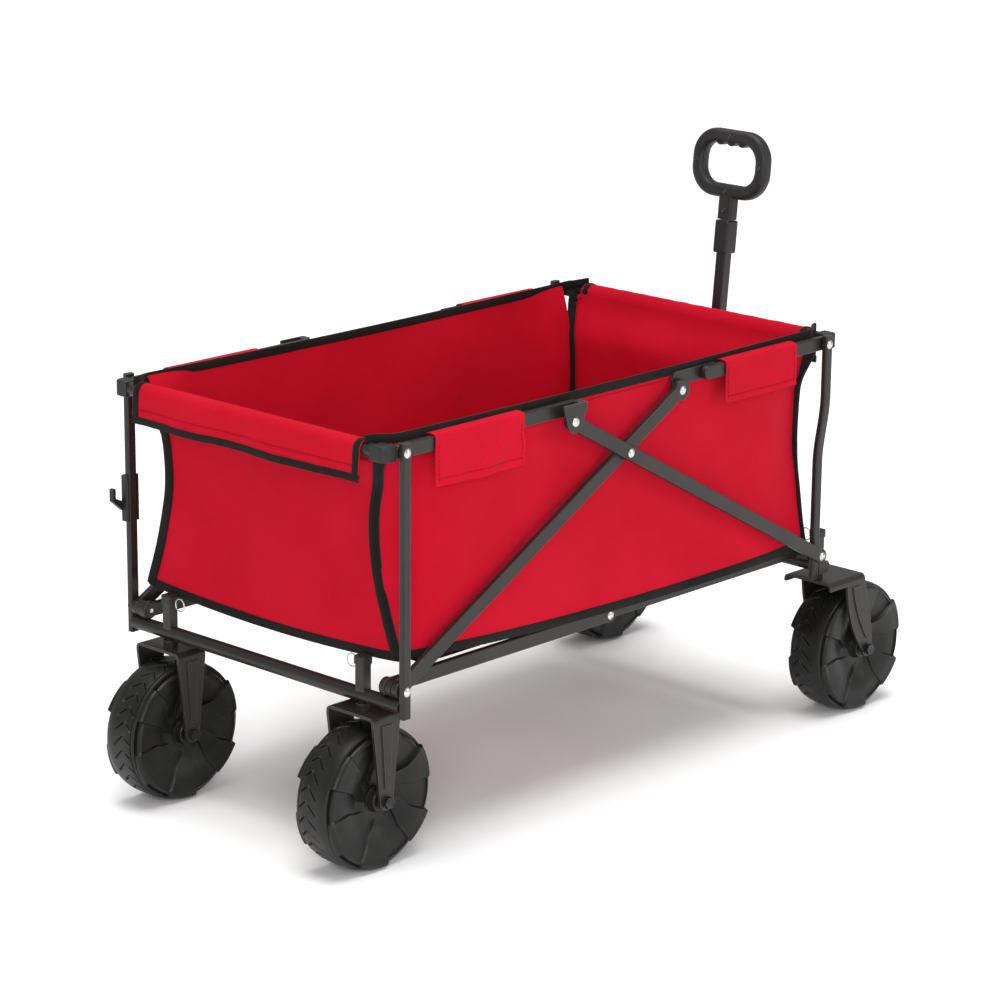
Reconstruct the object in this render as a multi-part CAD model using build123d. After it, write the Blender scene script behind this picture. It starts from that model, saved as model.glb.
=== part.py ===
from build123d import *
import math
import os

# Folding utility wagon with a telescoping pull handle. Millimetres, +Z up, +X toward the handle.
# The origin is on the ground, at the middle of the wagon's length and width.

# Driving dimensions: overall
frame_width = 550.0            # over the outer faces of the corner posts
post_spacing = 880.0           # rear post axis to front post axis
rail_height = 587.0            # ground to the top rails' pivots
low_pivot_height = 263.0       # ground to the lower pivots of the cross links and the floor rails
cross_pivot_drop = 82.0        # rivet where the two links of a side cross, below the top rails' pivots
upper_pivot_drop = 15.57       # upper end pivot of a cross link, below the top rails' pivots
post_foot_height = 225.0       # ground to the bottom end of the corner posts

# Driving dimensions: sections
post_depth = 15.0
post_thickness = 10.0
post_top_rise = 13.0           # post above the top rail's pivot
bar_height = 20.0
bar_thickness = 10.0
tube_diameter = 20.0
edge_round = 2.0
post_round = 3.0
post_bend_start = 75.0         # below the top rail's pivot, on a front post
post_bend_end = 185.0

# Fits and clearances
side_gap = 1.0                 # between two bars that turn side by side
running_gap = 0.08             # radial, pin in a turning bore
seat_gap = 0.15                # radial, pin in a fixed bore
free_gap = 0.5                 # between pieces that only pass each other

# Fasteners
pin_diameter = 6.0
rivet_head_diameter = 13.0
rivet_head_height = 2.5
pin_tail = 1.5                 # pin past the last bar it carries
link_end_radius = 11.0
pivot_disc_radius = 15.5       # the flattened eye at each upper link pivot
floor_rail_end_radius = 12.5
bush_diameter = 22.0
sliver = 1.0                   # a cut runs this far past the face that it opens

# Wheels and forks
wheel_diameter = 200.0
wheel_width = 77.0
tread_width = 53.0
disc_diameter = 168.0
hub_diameter = 54.0
axle_diameter = 10.0
bolt_head_diameter = 17.0
bolt_head_height = 5.0
rear_stem_inset = 73.0         # inner face of a rear post to the middle of a rear wheel
front_stem_inset = 17.0        # end of the front cross tube to the caster axis
fork_plate = 4.0
fork_side_gap = 2.0            # wheel to fork leg
fork_top_height = 222.0        # ground to the top face of a fork's crown
rear_fork_top_length = 50.0
fork_foot_radius = 12.0
fork_bend_radius = 8.0
crown_depth = 12.0
rear_rib_top = 10.0            # half width of a rear fork's rib at its top
rear_rib_foot = 4.0
rib_top_drop = 14.0
rib_foot_rise = 18.0
stem_diameter = 10.0
socket_depth = 15.0
socket_width = 17.0
socket_height = 296.0          # ground to the top of a stem socket's cap
cap_height = 12.0
cap_round = 3.0
cap_dome_round = 2.8
socket_round = 2.0
cap_overhang = 1.5
stem_clearance_above = 4.0
caster_axis_ahead = 22.0       # caster axis ahead of the front post axis
caster_trail = 76.0            # caster axis to wheel axle
caster_plate_behind = 20.0
caster_plate_ahead = 64.0
caster_leg_top_width = 42.0
caster_leg_bow = 10.0          # how far the near edge of the leg bows forward
caster_leg_belly = 14.0        # how far its far edge does
caster_leg_belly_rise = 8.0
caster_rib_top = 9.0           # half width of a caster's rib at its top
caster_rib_drop = 2.0
caster_rib_bow = 4.0
caster_rib_belly = 16.0
caster_rib_foot_near = 5.0
caster_rib_foot_far = 3.0
rib_height = 2.0
washer_gap = 0.3
wheel_wall = 4.0
hub_inset = 2.5                # hub face inside the disc's face
dish_depth = 4.0
disc_flat = 24.0               # from the disc's edge in to its highest ring
disc_shoulder = 3.0
disc_shoulder_drop = 2.0
disc_edge_drop = 6.0
tread_shoulder = 6.0
tread_shoulder_rise = 1.5
tread_round = 2.0
moulding_seam = 1.0
clip_wire = 2.0
clip_ring_radius = 9.0

# Fold latch on the left rear post
latch_height = 66.0
latch_centre_height = 421.0
latch_wall = 4.0
latch_hook_reach = 18.0
latch_round = 3.0
latch_hook_wall = 5.0
latch_hook_root_low = 18.0     # below the latch's middle
latch_hook_root_high = 4.0
latch_hook_floor = 2.0
latch_hook_tip = 16.0

# Top rails
top_tube_behind_pivot = 22.0   # end cross tube outside the post axis
elbow_size = 22.0
elbow_arm = 16.0
elbow_round = 11.0
knuckle_plate = 3.0
knuckle_length = 46.0
knuckle_bridge = 13.0          # length of the knuckle's bridge, past the link's end
knuckle_edge = 4.0
rail_past_pivot = 14.0         # rear rail past the link's upper pivot
shoulder_length = 58.0
shoulder_lap = 22.0
pad_inset = 2.0

# Pull handle
handle_pivot_ahead = 45.0      # handle pivot ahead of the front post axis
handle_pivot_height = 250.0
handle_lean = 5.5              # degrees forward of upright at rest
handle_tube_size = 18.0
handle_tube_wall = 1.6
handle_tube_round = 2.5
handle_bore_round = 1.0
inner_tube_size = 14.4
inner_tube_round = 1.5
inner_bore_round = 0.8
inner_tube_start = 150.0       # along the handle from its pivot
collar_size = 27.0
collar_round = 5.0
collar_rim_round = 2.5
collar_start = 424.0
collar_length = 50.0
collar_overlap = 40.0
neck_start = 475.5
neck_width = 26.0
neck_round = 5.0
neck_inset = 1.0
neck_socket_share = 0.8        # share of the neck's length that the upper tube fills
grip_start = 508.0
grip_width = 144.0
grip_length = 104.0
grip_depth = 23.0
grip_bar = 21.0
grip_side_bar = 22.0
grip_corner = 44.0
grip_opening_corner = 25.0
grip_edge_round = 9.0
finger_radius = 9.0
finger_depth = 4.0
finger_spacing = 21.0
finger_length = 12.0
ear_thickness = 3.0
ear_radius = 13.0

# Fabric
cloth_thickness = 4.0
tub_bottom_height = 277.0
tub_top_height = 603.0
end_panel_offset = 10.0        # post axis to the outer face of an end panel
panel_corner_gap = 1.5
panel_rail_gap = 2.5           # side panel to the floor rail inboard of it
floor_board_thickness = 7.0
floor_board_corner = 12.0
floor_board_start = 85.0       # post axis to the near edge of a floor board
floor_board_hinge_gap = 62.0   # far edge of a floor board to the hinge at the middle
flap_drop = 62.0
flap_thickness = 3.0
rear_flap_start = 60.0         # post axis to the near end of a rail flap
rear_flap_gap = 66.2           # far end of a rear flap to the knuckle
front_flap_start = 45.0
front_flap_gap = 19.2          # far end of a front flap to the rail's shoulder
sleeve_drop = 58.0
sleeve_elbow_gap = 16.0        # end of a sleeve to the elbow

# Places worked out from the driving dimensions
wheel_radius = wheel_diameter / 2
caster_lead = caster_axis_ahead + caster_trail
cross_tube_height = low_pivot_height - floor_rail_end_radius - tube_diameter / 2 - free_gap
rear_x = -(post_spacing + caster_lead) / 2
front_x = rear_x + post_spacing
middle_x = rear_x + post_spacing / 2
cross_pivot_height = rail_height - cross_pivot_drop
link_angle = math.atan2(cross_pivot_height - low_pivot_height, post_spacing / 2)
upper_pivot_height = rail_height - upper_pivot_drop
link_length = (upper_pivot_height - low_pivot_height) / math.sin(link_angle)
upper_pivot_run = link_length * math.cos(link_angle)
rear_upper_pivot_x = front_x - upper_pivot_run
front_upper_pivot_x = rear_x + upper_pivot_run
post_top_height = rail_height + post_top_rise
caster_x = front_x + caster_axis_ahead
caster_wheel_x = caster_x + caster_trail
tube_radius = tube_diameter / 2
pin_radius = pin_diameter / 2

# Layers across the width, each as (inner, outer) distance from the middle of the wagon
outer_layer = (frame_width / 2 - post_thickness, frame_width / 2)
rail_layer = (outer_layer[0] - side_gap - bar_thickness, outer_layer[0] - side_gap)
shoulder_layer = (rail_layer[0] - side_gap - knuckle_plate, rail_layer[0] - side_gap)
tub_side_outer = shoulder_layer[0] - side_gap
floor_rail_outer = tub_side_outer - cloth_thickness - panel_rail_gap
floor_layer = (floor_rail_outer - bar_thickness, floor_rail_outer)
floor_inner_layer = (floor_layer[0] - side_gap - bar_thickness, floor_layer[0] - side_gap)
knuckle_layer = (outer_layer[1] + free_gap, outer_layer[1] + free_gap + knuckle_plate)
rear_wheel_offset = outer_layer[0] - rear_stem_inset
front_wheel_offset = rail_layer[1] - front_stem_inset
sleeve_half_width = rail_layer[0] - elbow_arm - sleeve_elbow_gap
floor_board_end = post_spacing / 2 - floor_board_hinge_gap
rear_flap_end = rear_upper_pivot_x - knuckle_length / 2 - rear_flap_gap
front_shoulder_end = front_upper_pivot_x + shoulder_length + shoulder_lap + tube_radius
front_flap_end = front_shoulder_end + front_flap_gap
front_post_layer = (rail_layer[1] - post_thickness, rail_layer[1])

SIDES = (("left", 1), ("right", -1))

os.makedirs("parts", exist_ok=True)


def save(name, *solids):
    """Write the solids of one node, welded where they meet."""
    shape = solids[0] if len(solids) == 1 else Compound(children=list(solids))
    export_step(shape, f"parts/{name}.step")


def across(profile, layer, side):
    """Extrude an X-Z profile across the width of one layer on one side of the wagon."""
    low, high = sorted((side * layer[0], side * layer[1]))
    return extrude(Plane.XZ.offset(-high) * profile, amount=high - low)


def disc(x, z, radius):
    """A circle in the X-Z plane."""
    return Pos(x, z) * Circle(radius)


def cross_pin(x, z, radius, layer, side):
    """A round pin or bore across the width."""
    return across(disc(x, z, radius), layer, side)


def bore(x, z, gap, layer, side):
    """The hole for a pin across one layer, cut a little past both of its faces."""
    return cross_pin(x, z, pin_radius + gap, (layer[0] - sliver, layer[1] + sliver), side)


def bar_profile(start, end, height, start_radius, end_radius):
    """A straight bar between two (x, z) points with round ends."""
    length = math.dist(start, end)
    angle = math.degrees(math.atan2(end[1] - start[1], end[0] - start[0]))
    middle = ((start[0] + end[0]) / 2, (start[1] + end[1]) / 2)
    body = Pos(*middle) * Rot(0, 0, angle) * Rectangle(length, height)
    return body + disc(*start, start_radius) + disc(*end, end_radius)


def soften(solid, radius):
    """Round the long edges that run along a bar's two faces."""
    faces = (solid.faces().sort_by(Axis.Y)[0], solid.faces().sort_by(Axis.Y)[-1])
    return fillet([edge for face in faces for edge in face.outer_wire().edges()], radius)


def rivet(x, z, reach, side, head_layer=outer_layer[1]):
    """A pin with a domed head outside head_layer and a flat head at the inner end of its reach."""
    shank = cross_pin(x, z, pin_radius, (reach, head_layer), side)
    dome_radius = (rivet_head_diameter**2 / 4 + rivet_head_height**2) / (2 * rivet_head_height)
    centre = head_layer + rivet_head_height - dome_radius
    ball = Pos(x, side * centre, z) * Sphere(dome_radius)
    head = ball & cross_pin(x, z, rivet_head_diameter / 2, (head_layer, head_layer + rivet_head_height), side)
    return shank + head


def tube_across(x, z, half_length, radius):
    """A round tube across the whole width."""
    return extrude(Plane.XZ.offset(-half_length) * Pos(x, z) * Circle(radius), amount=2 * half_length)


def upright_box(x, y, bottom, top, depth, width, round_radius):
    """A vertical box with rounded corners."""
    outline = Pos(x, y, bottom) * RectangleRounded(depth, width, round_radius)
    return extrude(outline, amount=top - bottom)


# Corner posts
def rear_post(side):
    """A straight flat-sided tube, bored for the top and the lower pivot pins."""
    y = side * (outer_layer[0] + outer_layer[1]) / 2
    post = upright_box(rear_x, y, post_foot_height, post_top_height, post_depth, post_thickness, post_round)
    for height in (rail_height, low_pivot_height):
        post -= bore(rear_x, height, seat_gap, outer_layer, side)
    return post


def front_post(side):
    """A flat-sided tube whose lower half is set inboard by an easy S bend."""
    shift = outer_layer[1] - front_post_layer[1]
    high_y = (outer_layer[0] + outer_layer[1]) / 2
    low_y = high_y - shift
    bend_top = rail_height - post_bend_start
    bend_bottom = rail_height - post_bend_end
    bend_middle = (bend_top + bend_bottom) / 2
    path = Line((front_x, side * high_y, post_top_height), (front_x, side * high_y, bend_top))
    path += Spline(
        [
            (front_x, side * high_y, bend_top),
            (front_x, side * (high_y - shift / 2), bend_middle),
            (front_x, side * low_y, bend_bottom),
        ],
        tangents=[(0, 0, -1), (0, 0, -1)],
    )
    path += Line((front_x, side * low_y, bend_bottom), (front_x, side * low_y, post_foot_height))
    section = Plane(origin=(front_x, side * high_y, post_top_height), x_dir=(1, 0, 0), z_dir=(0, 0, -1))
    post = sweep(section * RectangleRounded(post_depth, post_thickness, post_round), path=path)
    post -= bore(front_x, rail_height, seat_gap, outer_layer, side)
    post -= bore(front_x, low_pivot_height, seat_gap, front_post_layer, side)
    return post


for name, side in SIDES:
    save(f"rear_post_{name}", rear_post(side))
    save(f"front_post_{name}", front_post(side))


# Lower cross tubes, stem sockets, caps and hitch clips
def socket(x, side, offset):
    """A short box tube that stands on the cross tube and takes the fork's stem."""
    y = side * offset
    top = socket_height - cap_height
    block = upright_box(x, y, cross_tube_height, top, socket_depth, socket_width, socket_round)
    block -= tube_across(x, cross_tube_height, frame_width / 2, tube_radius)
    bore_top = top - stem_clearance_above
    block -= Pos(x, y, (cross_tube_height + bore_top) / 2) * Cylinder(
        stem_diameter / 2 + running_gap, bore_top - cross_tube_height
    )
    return block


def socket_cap(x, side, offset):
    """A plastic cap with a domed top that covers the socket's upper end."""
    bottom = socket_height - cap_height
    cap = upright_box(
        x,
        side * offset,
        bottom,
        socket_height,
        socket_depth + 2 * cap_overhang,
        socket_width + 2 * cap_overhang,
        cap_round,
    )
    return fillet(cap.faces().sort_by(Axis.Z)[-1].edges(), cap_dome_round)


def hitch_clip(x, side, offset):
    """A wire ring beside the socket's cap that keeps the wheel stem in."""
    y = side * (offset - socket_width / 2 - cap_overhang - clip_ring_radius - clip_wire)
    return Pos(x, y, socket_height - cap_height) * Rot(0, 90, 0) * Torus(clip_ring_radius, clip_wire / 2)


def cross_tube(x, half_length, offset):
    """The lower cross tube, bored for both stems."""
    tube = tube_across(x, cross_tube_height, half_length, tube_radius)
    stem_bore = Cylinder(stem_diameter / 2 + running_gap, 2 * tube_diameter)
    for _, side in SIDES:
        tube -= Pos(x, side * offset, cross_tube_height) * stem_bore
    return tube


save("rear_cross_tube", cross_tube(rear_x, outer_layer[0], rear_wheel_offset))
save("rear_stem_sockets", *[socket(rear_x, side, rear_wheel_offset) for _, side in SIDES])
save("rear_socket_caps", *[socket_cap(rear_x, side, rear_wheel_offset) for _, side in SIDES])
save("rear_hitch_clips", *[hitch_clip(rear_x, side, rear_wheel_offset) for _, side in SIDES])


def front_gusset(side):
    """The plate that joins the front cross tube's end to the post's front face."""
    low = front_x + post_depth / 2
    high = caster_x - socket_depth / 2
    profile = Pos((low + high) / 2, cross_tube_height) * Rectangle(high - low, tube_diameter)
    gusset = across(profile, rail_layer, side)
    return gusset - tube_across(caster_x, cross_tube_height, frame_width / 2, tube_radius)


front_tube = cross_tube(caster_x, rail_layer[1], front_wheel_offset)
for _, side in SIDES:
    front_tube += front_gusset(side)
save("front_cross_tube", front_tube)
save("front_stem_sockets", *[socket(caster_x, side, front_wheel_offset) for _, side in SIDES])
save("front_socket_caps", *[socket_cap(caster_x, side, front_wheel_offset) for _, side in SIDES])
save("front_hitch_clips", *[hitch_clip(caster_x, side, front_wheel_offset) for _, side in SIDES])


# Pivot pins of the corner posts
def lower_pin(x, side):
    """The long lower pin: it carries the cross link beside the post and the floor rail inboard."""
    reach = floor_inner_layer[0] if x == front_x else floor_layer[0]
    return rivet(x, low_pivot_height, reach - pin_tail, side)


def bush(x, inner, outer, side):
    """The plastic spacer between the floor rail and the frame on a lower pin."""
    ring = cross_pin(x, low_pivot_height, bush_diameter / 2, (inner, outer), side)
    return ring - bore(x, low_pivot_height, seat_gap, (inner, outer), side)


for end, x, inner_end, outer_end in (
    ("rear", rear_x, floor_layer[1], rail_layer[0]),
    ("front", front_x, floor_inner_layer[1], front_post_layer[0]),
):
    pins = [lower_pin(x, side) for _, side in SIDES]
    pins += [rivet(x, rail_height, rail_layer[0] - pin_tail, side) for _, side in SIDES]
    save(f"{end}_post_pins", *pins)
    bushes = [bush(x, inner_end + free_gap, outer_end - free_gap, side) for _, side in SIDES]
    save(f"{end}_pin_bushes", *bushes)


# Cross links
def link(start, end, layer, side, bores, eye_radius=link_end_radius):
    """A flat-sided tube link with round ends, the upper one spread to an eye, bored at its pivots."""
    profile = bar_profile(start, end, bar_height, link_end_radius, link_end_radius)
    profile += disc(*end, eye_radius)
    bar = soften(across(profile, layer, side), edge_round)
    for x, z, gap in bores:
        bar -= bore(x, z, gap, layer, side)
    return bar


rear_low = (rear_x, low_pivot_height)
front_low = (front_x, low_pivot_height)
crossing = (middle_x, cross_pivot_height)
rear_upper = (rear_upper_pivot_x, upper_pivot_height)
front_upper = (front_upper_pivot_x, upper_pivot_height)
for name, side in SIDES:
    bores_a = [(*rear_low, running_gap), (*crossing, seat_gap), (*front_upper, seat_gap)]
    bores_b = [(*front_low, running_gap), (*crossing, running_gap)]
    save(f"link_a_{name}", link(rear_low, front_upper, rail_layer, side, bores_a, pivot_disc_radius))
    save(f"link_b_{name}", link(front_low, rear_upper, outer_layer, side, bores_b))

link_rivets = [rivet(*crossing, rail_layer[0] - pin_tail, side) for _, side in SIDES]
link_rivets += [rivet(*front_upper, rail_layer[0], side, rail_layer[1]) for _, side in SIDES]
save("link_rivets", *link_rivets)


# Top rails, their end cross tubes, corner elbows and upper knuckles
def rear_rail(side):
    """The rear half of a top rail: it turns on the post and ends over the link's upper pivot."""
    start = (rear_x, rail_height)
    end = (rear_upper_pivot_x + rail_past_pivot, rail_height)
    profile = bar_profile(start, end, bar_height, tube_radius, tube_radius)
    rail = soften(across(profile, rail_layer, side), edge_round)
    return rail - bore(*start, running_gap, rail_layer, side)


def front_rail(side):
    """The front half of a top rail, with a flat shoulder inboard of the link's upper end."""
    start = (front_x, rail_height)
    seam = (front_upper_pivot_x + shoulder_length, rail_height)
    overlap = (seam[0] + shoulder_lap, rail_height)
    profile = bar_profile(start, seam, bar_height, tube_radius, tube_radius)
    rail = soften(across(profile, rail_layer, side), edge_round)
    tongue = bar_profile(overlap, (front_upper_pivot_x, rail_height), bar_height, tube_radius, tube_radius)
    tongue += Pos(front_upper_pivot_x, (rail_height + upper_pivot_height) / 2) * Rectangle(
        2 * link_end_radius, rail_height - upper_pivot_height
    )
    tongue += disc(*front_upper, link_end_radius)
    rail += across(tongue, shoulder_layer, side)
    pad_radius = tube_radius - pad_inset
    pad_end = (seam[0] + link_end_radius, rail_height)
    pad = bar_profile(overlap, pad_end, bar_height - 2 * pad_inset, pad_radius, pad_radius)
    rail += across(pad, (shoulder_layer[1] - edge_round, rail_layer[0] + edge_round), side)
    return rail - bore(*start, running_gap, rail_layer, side)


def rail_knuckle(side):
    """A lobe outboard of the link's end, on a bridge from the rear rail past that end."""
    top = rail_height + bar_height / 2
    low = upper_pivot_height + link_end_radius + running_gap + sliver
    far = rear_upper_pivot_x + knuckle_length / 2
    bridge = Pos(far - knuckle_bridge / 2, (low + top) / 2) * Rectangle(knuckle_bridge, top - low)
    knuckle = across(bridge, (rail_layer[1], knuckle_layer[1]), side)
    upper_edge = Pos(rear_upper_pivot_x, top - knuckle_edge / 2) * Rectangle(knuckle_length, knuckle_edge)
    lobe = make_hull((upper_edge + disc(*rear_upper, pivot_disc_radius)).edges())
    knuckle += across(lobe, knuckle_layer, side)
    return knuckle - bore(*rear_upper, seat_gap, knuckle_layer, side)


def elbow(x, outward, side):
    """A plastic corner between a top rail's end and the end cross tube."""
    outer_face = outer_layer[0] - free_gap
    near = x + outward * tube_radius
    far = x + outward * (top_tube_behind_pivot + elbow_size / 2)
    inner_end = rail_layer[0] - elbow_arm
    block = Pos((near + far) / 2, side * (outer_face + inner_end) / 2, rail_height) * Box(
        abs(far - near), outer_face - inner_end, elbow_size
    )
    corner = block.edges().filter_by(Axis.Z).sort_by(Axis.X)
    outer_edges = corner[:2] if outward < 0 else corner[-2:]
    outer_corner = outer_edges.sort_by(Axis.Y)[0 if side < 0 else -1]
    block = fillet(outer_corner, elbow_round)
    level = block.faces().sort_by(Axis.Z)
    return fillet([edge for face in (level[0], level[-1]) for edge in face.edges()], edge_round)


for end, x, outward in (("rear", rear_x, -1), ("front", front_x, 1)):
    tube_x = x + outward * top_tube_behind_pivot
    save(f"{end}_top_tube", tube_across(tube_x, rail_height, rail_layer[0] - elbow_arm, tube_radius))
    save(f"{end}_elbows", *[elbow(x, outward, side) for _, side in SIDES])

for name, side in SIDES:
    save(f"rear_rail_{name}", rear_rail(side))
    save(f"front_rail_{name}", front_rail(side))

knuckles = [rail_knuckle(side) for _, side in SIDES]
knuckles += [rivet(*rear_upper, knuckle_layer[0], side, knuckle_layer[1]) for _, side in SIDES]
save("rear_rail_knuckles", *knuckles)


# Floor rails and floor boards
def floor_rail(low_pivot, layer, side, hinge_gap):
    """A half rail from a corner post to the hinge at the middle of the floor."""
    hinge = (middle_x, low_pivot_height)
    profile = bar_profile(low_pivot, hinge, bar_height, floor_rail_end_radius, link_end_radius)
    rail = soften(across(profile, layer, side), edge_round)
    rail -= bore(*low_pivot, running_gap, layer, side)
    if hinge_gap:
        rail -= bore(*hinge, hinge_gap, layer, side)
    return rail


def floor_board(x, inward):
    """A stiff board sewn into the fabric floor, one on each half of the folding floor."""
    near = x + inward * floor_board_start
    far = x + inward * floor_board_end
    width = 2 * (floor_inner_layer[0] - side_gap)
    bottom = low_pivot_height + bar_height / 2 - floor_board_thickness
    outline = Pos((near + far) / 2, 0, bottom) * RectangleRounded(abs(far - near), width, floor_board_corner)
    return extrude(outline, amount=floor_board_thickness)


for name, side in SIDES:
    save(f"floor_rail_rear_{name}", floor_rail(rear_low, floor_layer, side, seat_gap))
    save(f"floor_rail_front_{name}", floor_rail(front_low, floor_inner_layer, side, 0))

save("floor_board_rear", floor_board(rear_x, 1))
save("floor_board_front", floor_board(front_x, -1))
hinge_rivets = [rivet(middle_x, low_pivot_height, floor_layer[0], side, floor_layer[1]) for _, side in SIDES]
save("floor_hinge_rivets", *hinge_rivets)


# Forks, axle bolts and wheels
half_crown = wheel_width / 2 + fork_side_gap + fork_plate


def fork(stem_x, axle_x, offset, side, outline, rib):
    """A bent plate crown with two legs, a thrust washer and a round stem, all welded."""
    y = side * offset
    bend = Pos(y, fork_top_height - half_crown)
    legs = Pos(0, -wheel_radius) * bend
    gauge = bend * RectangleRounded(2 * half_crown, 2 * half_crown, fork_bend_radius)
    gauge += legs * Rectangle(2 * half_crown, wheel_diameter)
    hollow = half_crown - fork_plate
    inner_bend = fork_bend_radius - fork_plate
    gauge -= bend * RectangleRounded(2 * hollow, 2 * hollow, inner_bend)
    gauge -= legs * Rectangle(2 * hollow, wheel_diameter + sliver)
    bent = extrude(Plane.YZ.offset(stem_x - wheel_radius) * gauge, amount=2 * wheel_diameter)
    layer = (offset - half_crown - sliver, offset + half_crown + sliver)
    solid = bent & across(outline, layer, side)
    for inner, outer in ((half_crown, half_crown + rib_height), (-half_crown - rib_height, -half_crown)):
        solid += across(rib, (offset + inner, offset + outer), side)
    solid -= cross_pin(axle_x, wheel_radius, axle_diameter / 2 + seat_gap, layer, side)
    washer_top = cross_tube_height - tube_radius - washer_gap
    washer = Cylinder(stem_diameter, washer_top - fork_top_height)
    solid += Pos(stem_x, y, (fork_top_height + washer_top) / 2) * washer
    stem_top = socket_height - cap_height - 2 * stem_clearance_above
    stem = Cylinder(stem_diameter / 2, stem_top - fork_top_height)
    return solid + Pos(stem_x, y, (fork_top_height + stem_top) / 2) * stem


def rear_fork_outline():
    """The side view of a rear fork: a leg that tapers from the crown to the axle."""
    half = rear_fork_top_length / 2
    crown_low = fork_top_height - crown_depth
    leg = Polygon(
        (rear_x - half, fork_top_height),
        (rear_x - half, crown_low),
        (rear_x - fork_foot_radius, wheel_radius),
        (rear_x + fork_foot_radius, wheel_radius),
        (rear_x + half, crown_low),
        (rear_x + half, fork_top_height),
        align=None,
    )
    return leg + disc(rear_x, wheel_radius, fork_foot_radius)


def rear_fork_rib():
    """The pressed stiffening rib of a rear fork's leg."""
    return Polygon(
        (rear_x - rear_rib_top, fork_top_height - rib_top_drop),
        (rear_x - rear_rib_foot, wheel_radius + rib_foot_rise),
        (rear_x + rear_rib_foot, wheel_radius + rib_foot_rise),
        (rear_x + rear_rib_top, fork_top_height - rib_top_drop),
        align=None,
    )


def sickle(top_near, top_far, near_bulge, far_bulge, foot_near, foot_far):
    """A curved leg between two arcs."""
    near = ThreePointArc(top_near, near_bulge, foot_near)
    far = ThreePointArc(foot_far, far_bulge, top_far)
    return make_face(Wire([near, Line(foot_near, foot_far), far, Line(top_far, top_near)]))


def caster_outline():
    """The side view of a caster fork: a flat crown and a leg that sweeps forward to the axle."""
    low = fork_top_height - crown_depth
    leg_far = caster_x + caster_plate_ahead
    leg_near = leg_far - caster_leg_top_width
    crown_length = caster_plate_behind + caster_plate_ahead
    crown_middle = (leg_far - crown_length / 2, (low + fork_top_height) / 2)
    crown = Pos(*crown_middle) * Rectangle(crown_length, crown_depth)
    leg = sickle(
        (leg_near, low),
        (leg_far, low),
        (leg_near + caster_leg_bow, (low + wheel_radius) / 2),
        (leg_far + caster_leg_belly, (low + wheel_radius) / 2 + caster_leg_belly_rise),
        (caster_wheel_x - fork_foot_radius, wheel_radius),
        (caster_wheel_x + fork_foot_radius, wheel_radius),
    )
    return crown + leg + disc(caster_wheel_x, wheel_radius, fork_foot_radius)


def caster_rib():
    """The pressed stiffening rib of a caster fork's leg."""
    middle = caster_x + caster_plate_ahead - caster_leg_top_width / 2
    top = fork_top_height - rib_top_drop - caster_rib_drop
    foot = wheel_radius + rib_foot_rise
    return sickle(
        (middle - caster_rib_top, top),
        (middle + caster_rib_top, top),
        (middle + caster_rib_bow, (top + foot) / 2),
        (middle + caster_rib_belly, (top + foot) / 2 + caster_rib_bow),
        (caster_wheel_x - caster_rib_foot_near, foot),
        (caster_wheel_x + caster_rib_foot_far, foot),
    )


def axle_bolt(x, offset, side):
    """A bolt through both fork legs with a rounded hex head and a matching nut."""
    grip = half_crown + rib_height
    shaft = cross_pin(x, wheel_radius, axle_diameter / 2, (offset - grip, offset + grip), side)
    head = Pos(x, wheel_radius) * RegularPolygon(bolt_head_diameter / 2, 6)
    for inner in (-grip - bolt_head_height, grip):
        shaft += across(head, (offset + inner, offset + inner + bolt_head_height), side)
    return shaft


def wheel(x, offset, side):
    """A hollow moulded wheel: a flat tread band and two dished side discs around a hub."""
    bore_radius = axle_diameter / 2 + running_gap
    face = wheel_width / 2
    hub_face = face - hub_inset
    dish_face = hub_face - dish_depth
    hub_radius = hub_diameter / 2
    disc_radius = disc_diameter / 2
    tread = tread_width / 2
    outer = [
        (bore_radius, hub_face),
        (hub_radius, hub_face),
        (hub_radius + dish_depth, dish_face),
        (disc_radius - disc_flat, face),
        (disc_radius - disc_shoulder, face - disc_shoulder_drop),
        (disc_radius, face - disc_edge_drop),
        (wheel_radius - tread_shoulder, tread + tread_shoulder_rise),
        (wheel_radius, tread - tread_round),
    ]
    inner = [
        (wheel_radius - wheel_wall, tread - wheel_wall),
        (disc_radius - disc_shoulder, face - disc_shoulder_drop - wheel_wall),
        (disc_radius - disc_flat, face - wheel_wall),
        (hub_radius + dish_depth, dish_face - wheel_wall),
        (bore_radius + wheel_wall, dish_face - wheel_wall),
        (bore_radius + wheel_wall, moulding_seam / 2),
        (bore_radius, moulding_seam / 2),
    ]
    half = outer + [(r, -y) for r, y in reversed(outer)]
    cavity = [(r, -y) for r, y in reversed(inner)] + inner
    ring = Polygon(*half, *cavity, align=None)
    body = revolve(Plane.XY * ring, axis=Axis.Y)
    return Pos(x, side * offset, wheel_radius) * body


for name, side in SIDES:
    rear_fork = fork(rear_x, rear_x, rear_wheel_offset, side, rear_fork_outline(), rear_fork_rib())
    save(f"rear_fork_{name}", rear_fork)
    save(
        f"caster_fork_{name}",
        fork(caster_x, caster_wheel_x, front_wheel_offset, side, caster_outline(), caster_rib()),
    )
    save(f"caster_axle_bolt_{name}", axle_bolt(caster_wheel_x, front_wheel_offset, side))
    save(f"rear_wheel_{name}", wheel(rear_x, rear_wheel_offset, side))
    save(f"front_wheel_{name}", wheel(caster_wheel_x, front_wheel_offset, side))

save("rear_axle_bolts", *[axle_bolt(rear_x, rear_wheel_offset, side) for _, side in SIDES])


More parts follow.
